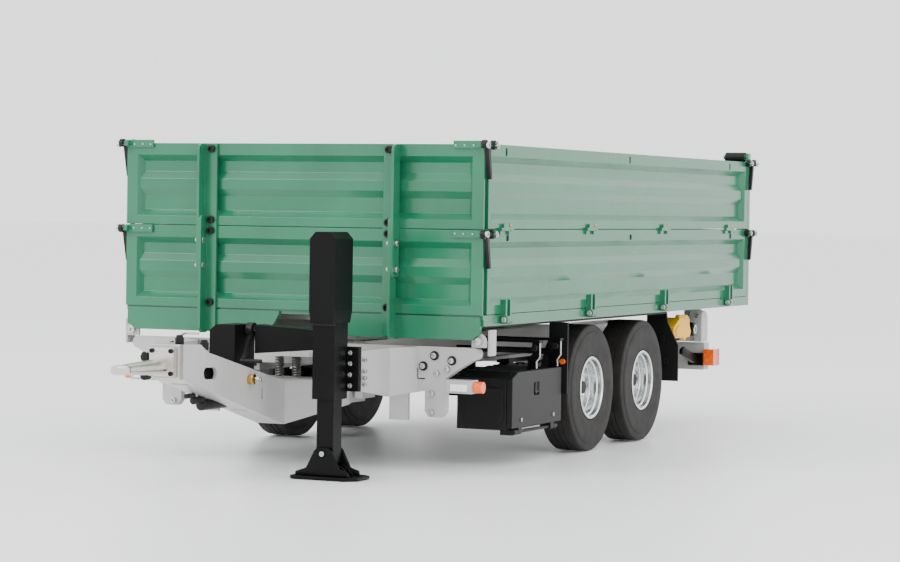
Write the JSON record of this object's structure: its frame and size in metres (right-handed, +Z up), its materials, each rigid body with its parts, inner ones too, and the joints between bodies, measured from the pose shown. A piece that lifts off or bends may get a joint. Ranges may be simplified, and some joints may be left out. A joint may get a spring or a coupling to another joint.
{
  "type": "tipping trailer",
  "caption": "Tandem-axle tipping trailer with double drop-side walls, sprung drawbar, parking jack, toolbox and telescopic tipping cylinder.",
  "frame": {"origin": "middle of the trailer's footprint, on the ground under the tyres and the jack foot", "axes": "+Z up, +Y towards the tailgate, -Y towards the tow eye, +X to the side with the toolbox"},
  "size_m": [0.1898, 0.5427, 0.1515],
  "materials": {
    "green_paint": "gloss",
    "light_grey_paint": "satin",
    "black_paint": "satin",
    "bright_steel": "satin",
    "polished_rim": "polished",
    "tyre_rubber": "matte",
    "black_plastic": "satin",
    "amber_plastic": "gloss",
    "red_plastic": "gloss",
    "white_plastic": "gloss",
    "yellow_plastic": "satin"
  },
  "bodies": {
    "chassis": {"chassis_rails": "light_grey_paint", "cross_members": "light_grey_paint", "front_bolster": "light_grey_paint", "rear_bolster": "light_grey_paint", "bolster_bolts": "black_paint", "axle_beams": "black_paint", "leaf_springs": "black_paint", "mudguards": "black_paint", "underrun_bar": "light_grey_paint", "rear_brackets": "black_paint", "amber_lenses": "amber_plastic", "red_lenses": "red_plastic", "marker_lamps": "white_plastic", "toolbox_shell": "black_plastic", "toolbox_straps": "bright_steel", "wheel_chocks": "yellow_plastic", "jack_tube": "black_paint", "jack_gearbox": "black_paint"},
    "toolbox_door": {"toolbox_door": "black_plastic"},
    "jack_leg": {"jack_leg": "black_paint"},
    "jack_foot": {"jack_foot": "black_paint"},
    "jack_crank": {"jack_crank": "bright_steel"},
    "drawbar": {"drawbar_beam": "light_grey_paint", "towing_eye": "bright_steel", "drawbar_springs": "bright_steel"},
    "bed": {"bed_floor": "green_paint", "bed_subframe": "green_paint", "front_board_lower": "green_paint", "front_board_upper": "green_paint", "front_posts": "green_paint", "post_bolts": "bright_steel", "corner_posts": "green_paint", "latch_keepers": "green_paint"},
    "side_lower_right": {"side_lower_right": "green_paint"},
    "side_upper_right": {"side_upper_right": "green_paint"},
    "side_lower_left": {"side_lower_left": "green_paint"},
    "side_upper_left": {"side_upper_left": "green_paint"},
    "tailgate_upper": {"tailgate_upper": "green_paint"},
    "tailgate_lower": {"tailgate_lower": "green_paint"},
    "cylinder_barrel": {"cylinder_barrel": "black_paint"},
    "cylinder_stage_1": {"cylinder_stage_1": "bright_steel"},
    "cylinder_stage_2": {"cylinder_stage_2": "bright_steel"},
    "cylinder_stage_3": {"cylinder_stage_3": "bright_steel"},
    "cylinder_stage_4": {"cylinder_stage_4": "bright_steel"},
    "wheel_front_left": {"tyre_front_left": "tyre_rubber", "rim_front_left": "polished_rim"},
    "wheel_front_right": {"tyre_front_right": "tyre_rubber", "rim_front_right": "polished_rim"},
    "wheel_rear_left": {"tyre_rear_left": "tyre_rubber", "rim_rear_left": "polished_rim"},
    "wheel_rear_right": {"tyre_rear_right": "tyre_rubber", "rim_rear_right": "polished_rim"},
    "latch_front_upper_right": {"latch_front_upper_right": "black_paint"},
    "latch_front_upper_left": {"latch_front_upper_left": "black_paint"},
    "latch_front_lower_right": {"latch_front_lower_right": "black_paint"},
    "latch_front_lower_left": {"latch_front_lower_left": "black_paint"},
    "latch_rear_upper_right": {"latch_rear_upper_right": "black_paint"},
    "latch_rear_upper_left": {"latch_rear_upper_left": "black_paint"},
    "latch_rear_lower_right": {"latch_rear_lower_right": "black_paint"},
    "latch_rear_lower_left": {"latch_rear_lower_left": "black_paint"}
  },
  "joints": [
    {"name": "bed_tilt", "type": "hinge", "parent": "chassis", "child": "bed", "pos_m": [0, 0.2226, 0.0576], "axis": [-1, 0, 0], "range_deg": [0, 45]},
    {"name": "cylinder_tilt", "type": "hinge", "parent": "chassis", "child": "cylinder_barrel", "pos_m": [0, 0.0676, 0.048], "axis": [-1, 0, 0], "range_deg": [0, 21.99]},
    {"name": "cylinder_stage_1_slide", "type": "slide", "parent": "cylinder_barrel", "child": "cylinder_stage_1", "axis": [0, 0, 1], "range_m": [0, 0.02946]},
    {"name": "cylinder_stage_2_slide", "type": "slide", "parent": "cylinder_stage_1", "child": "cylinder_stage_2", "axis": [0, 0, 1], "range_m": [0, 0.02946]},
    {"name": "cylinder_stage_3_slide", "type": "slide", "parent": "cylinder_stage_2", "child": "cylinder_stage_3", "axis": [0, 0, 1], "range_m": [0, 0.02946]},
    {"name": "cylinder_stage_4_slide", "type": "slide", "parent": "cylinder_stage_3", "child": "cylinder_stage_4", "axis": [0, 0, 1], "range_m": [0, 0.02946]},
    {"name": "side_lower_right_hinge", "type": "hinge", "parent": "bed", "child": "side_lower_right", "pos_m": [0.093, -0.1124, 0.0682], "axis": [0, 1, 0], "range_deg": [0, 120]},
    {"name": "side_upper_right_hinge", "type": "hinge", "parent": "side_lower_right", "child": "side_upper_right", "pos_m": [0.09195, -0.1124, 0.1086], "axis": [0, 1, 0], "range_deg": [0, 90]},
    {"name": "latch_front_upper_right_turn", "type": "hinge", "parent": "side_upper_right", "child": "latch_front_upper_right", "pos_m": [0.093, -0.1052, 0.146], "axis": [-1, 0, 0], "range_deg": [0, 38]},
    {"name": "latch_front_lower_right_turn", "type": "hinge", "parent": "side_lower_right", "child": "latch_front_lower_right", "pos_m": [0.093, -0.1052, 0.1065], "axis": [1, 0, 0], "range_deg": [0, 70]},
    {"name": "latch_rear_upper_right_turn", "type": "hinge", "parent": "side_upper_right", "child": "latch_rear_upper_right", "pos_m": [0.093, 0.2594, 0.146], "axis": [1, 0, 0], "range_deg": [0, 38]},
    {"name": "latch_rear_lower_right_turn", "type": "hinge", "parent": "side_lower_right", "child": "latch_rear_lower_right", "pos_m": [0.093, 0.2594, 0.1065], "axis": [-1, 0, 0], "range_deg": [0, 70]},
    {"name": "wheel_front_right_spin", "type": "hinge", "parent": "chassis", "child": "wheel_front_right", "pos_m": [0.08, 0.0313, 0.031], "axis": [1, 0, 0], "continuous": true},
    {"name": "wheel_rear_right_spin", "type": "hinge", "parent": "chassis", "child": "wheel_rear_right", "pos_m": [0.08, 0.1033, 0.031], "axis": [1, 0, 0], "continuous": true},
    {"name": "side_lower_left_hinge", "type": "hinge", "parent": "bed", "child": "side_lower_left", "pos_m": [-0.093, -0.1124, 0.0682], "axis": [0, -1, 0], "range_deg": [0, 120]},
    {"name": "side_upper_left_hinge", "type": "hinge", "parent": "side_lower_left", "child": "side_upper_left", "pos_m": [-0.09195, -0.1124, 0.1086], "axis": [0, -1, 0], "range_deg": [0, 90]},
    {"name": "latch_front_upper_left_turn", "type": "hinge", "parent": "side_upper_left", "child": "latch_front_upper_left", "pos_m": [-0.093, -0.1052, 0.146], "axis": [-1, 0, 0], "range_deg": [0, 38]},
    {"name": "latch_front_lower_left_turn", "type": "hinge", "parent": "side_lower_left", "child": "latch_front_lower_left", "pos_m": [-0.093, -0.1052, 0.1065], "axis": [1, 0, 0], "range_deg": [0, 70]},
    {"name": "latch_rear_upper_left_turn", "type": "hinge", "parent": "side_upper_left", "child": "latch_rear_upper_left", "pos_m": [-0.093, 0.2594, 0.146], "axis": [1, 0, 0], "range_deg": [0, 38]},
    {"name": "latch_rear_lower_left_turn", "type": "hinge", "parent": "side_lower_left", "child": "latch_rear_lower_left", "pos_m": [-0.093, 0.2594, 0.1065], "axis": [-1, 0, 0], "range_deg": [0, 70]},
    {"name": "wheel_front_left_spin", "type": "hinge", "parent": "chassis", "child": "wheel_front_left", "pos_m": [-0.08, 0.0313, 0.031], "axis": [1, 0, 0], "continuous": true},
    {"name": "wheel_rear_left_spin", "type": "hinge", "parent": "chassis", "child": "wheel_rear_left", "pos_m": [-0.08, 0.1033, 0.031], "axis": [1, 0, 0], "continuous": true},
    {"name": "tailgate_upper_hinge", "type": "hinge", "parent": "bed", "child": "tailgate_upper", "pos_m": [0, 0.2639, 0.1493], "axis": [1, 0, 0], "range_deg": [0, 75]},
    {"name": "tailgate_lower_hinge", "type": "hinge", "parent": "tailgate_upper", "child": "tailgate_lower", "pos_m": [0, 0.26755, 0.1086], "axis": [1, 0, 0], "range_deg": [0, 90]},
    {"name": "drawbar_pivot", "type": "hinge", "parent": "chassis", "child": "drawbar", "pos_m": [0, -0.0964, 0.034], "axis": [1, 0, 0], "range_deg": [-1, 1], "stiffness_Nm_per_rad": 30, "deforming": ["drawbar_springs"]},
    {"name": "jack_leg_slide", "type": "slide", "parent": "chassis", "child": "jack_leg", "axis": [0, 0, 1], "range_m": [0, 0.018]},
    {"name": "jack_foot_pivot", "type": "hinge", "parent": "jack_leg", "child": "jack_foot", "pos_m": [0.0402, -0.1599, 0.011], "axis": [0, 1, 0], "range_deg": [-10, 10]},
    {"name": "jack_crank_turn", "type": "hinge", "parent": "chassis", "child": "jack_crank", "pos_m": [0.001, -0.1591, 0.0632], "axis": [1, 0, 0], "range_deg": [0, 1620]},
    {"name": "toolbox_door_hinge", "type": "hinge", "parent": "chassis", "child": "toolbox_door", "pos_m": [0.086, -0.0384, 0.0154], "axis": [0, 1, 0], "range_deg": [0, 100]}
  ],
  "couplings": [
    {"joint": "cylinder_tilt", "follows": "bed_tilt", "ratio": 0.48757},
    {"joint": "cylinder_stage_1_slide", "follows": "bed_tilt", "m_per_rad": 0.037381},
    {"joint": "cylinder_stage_2_slide", "follows": "bed_tilt", "m_per_rad": 0.037381},
    {"joint": "cylinder_stage_3_slide", "follows": "bed_tilt", "m_per_rad": 0.037381},
    {"joint": "cylinder_stage_4_slide", "follows": "bed_tilt", "m_per_rad": 0.037381},
    {"joint": "jack_crank_turn", "follows": "jack_leg_slide", "rad_per_m": 1570.8}
  ]
}
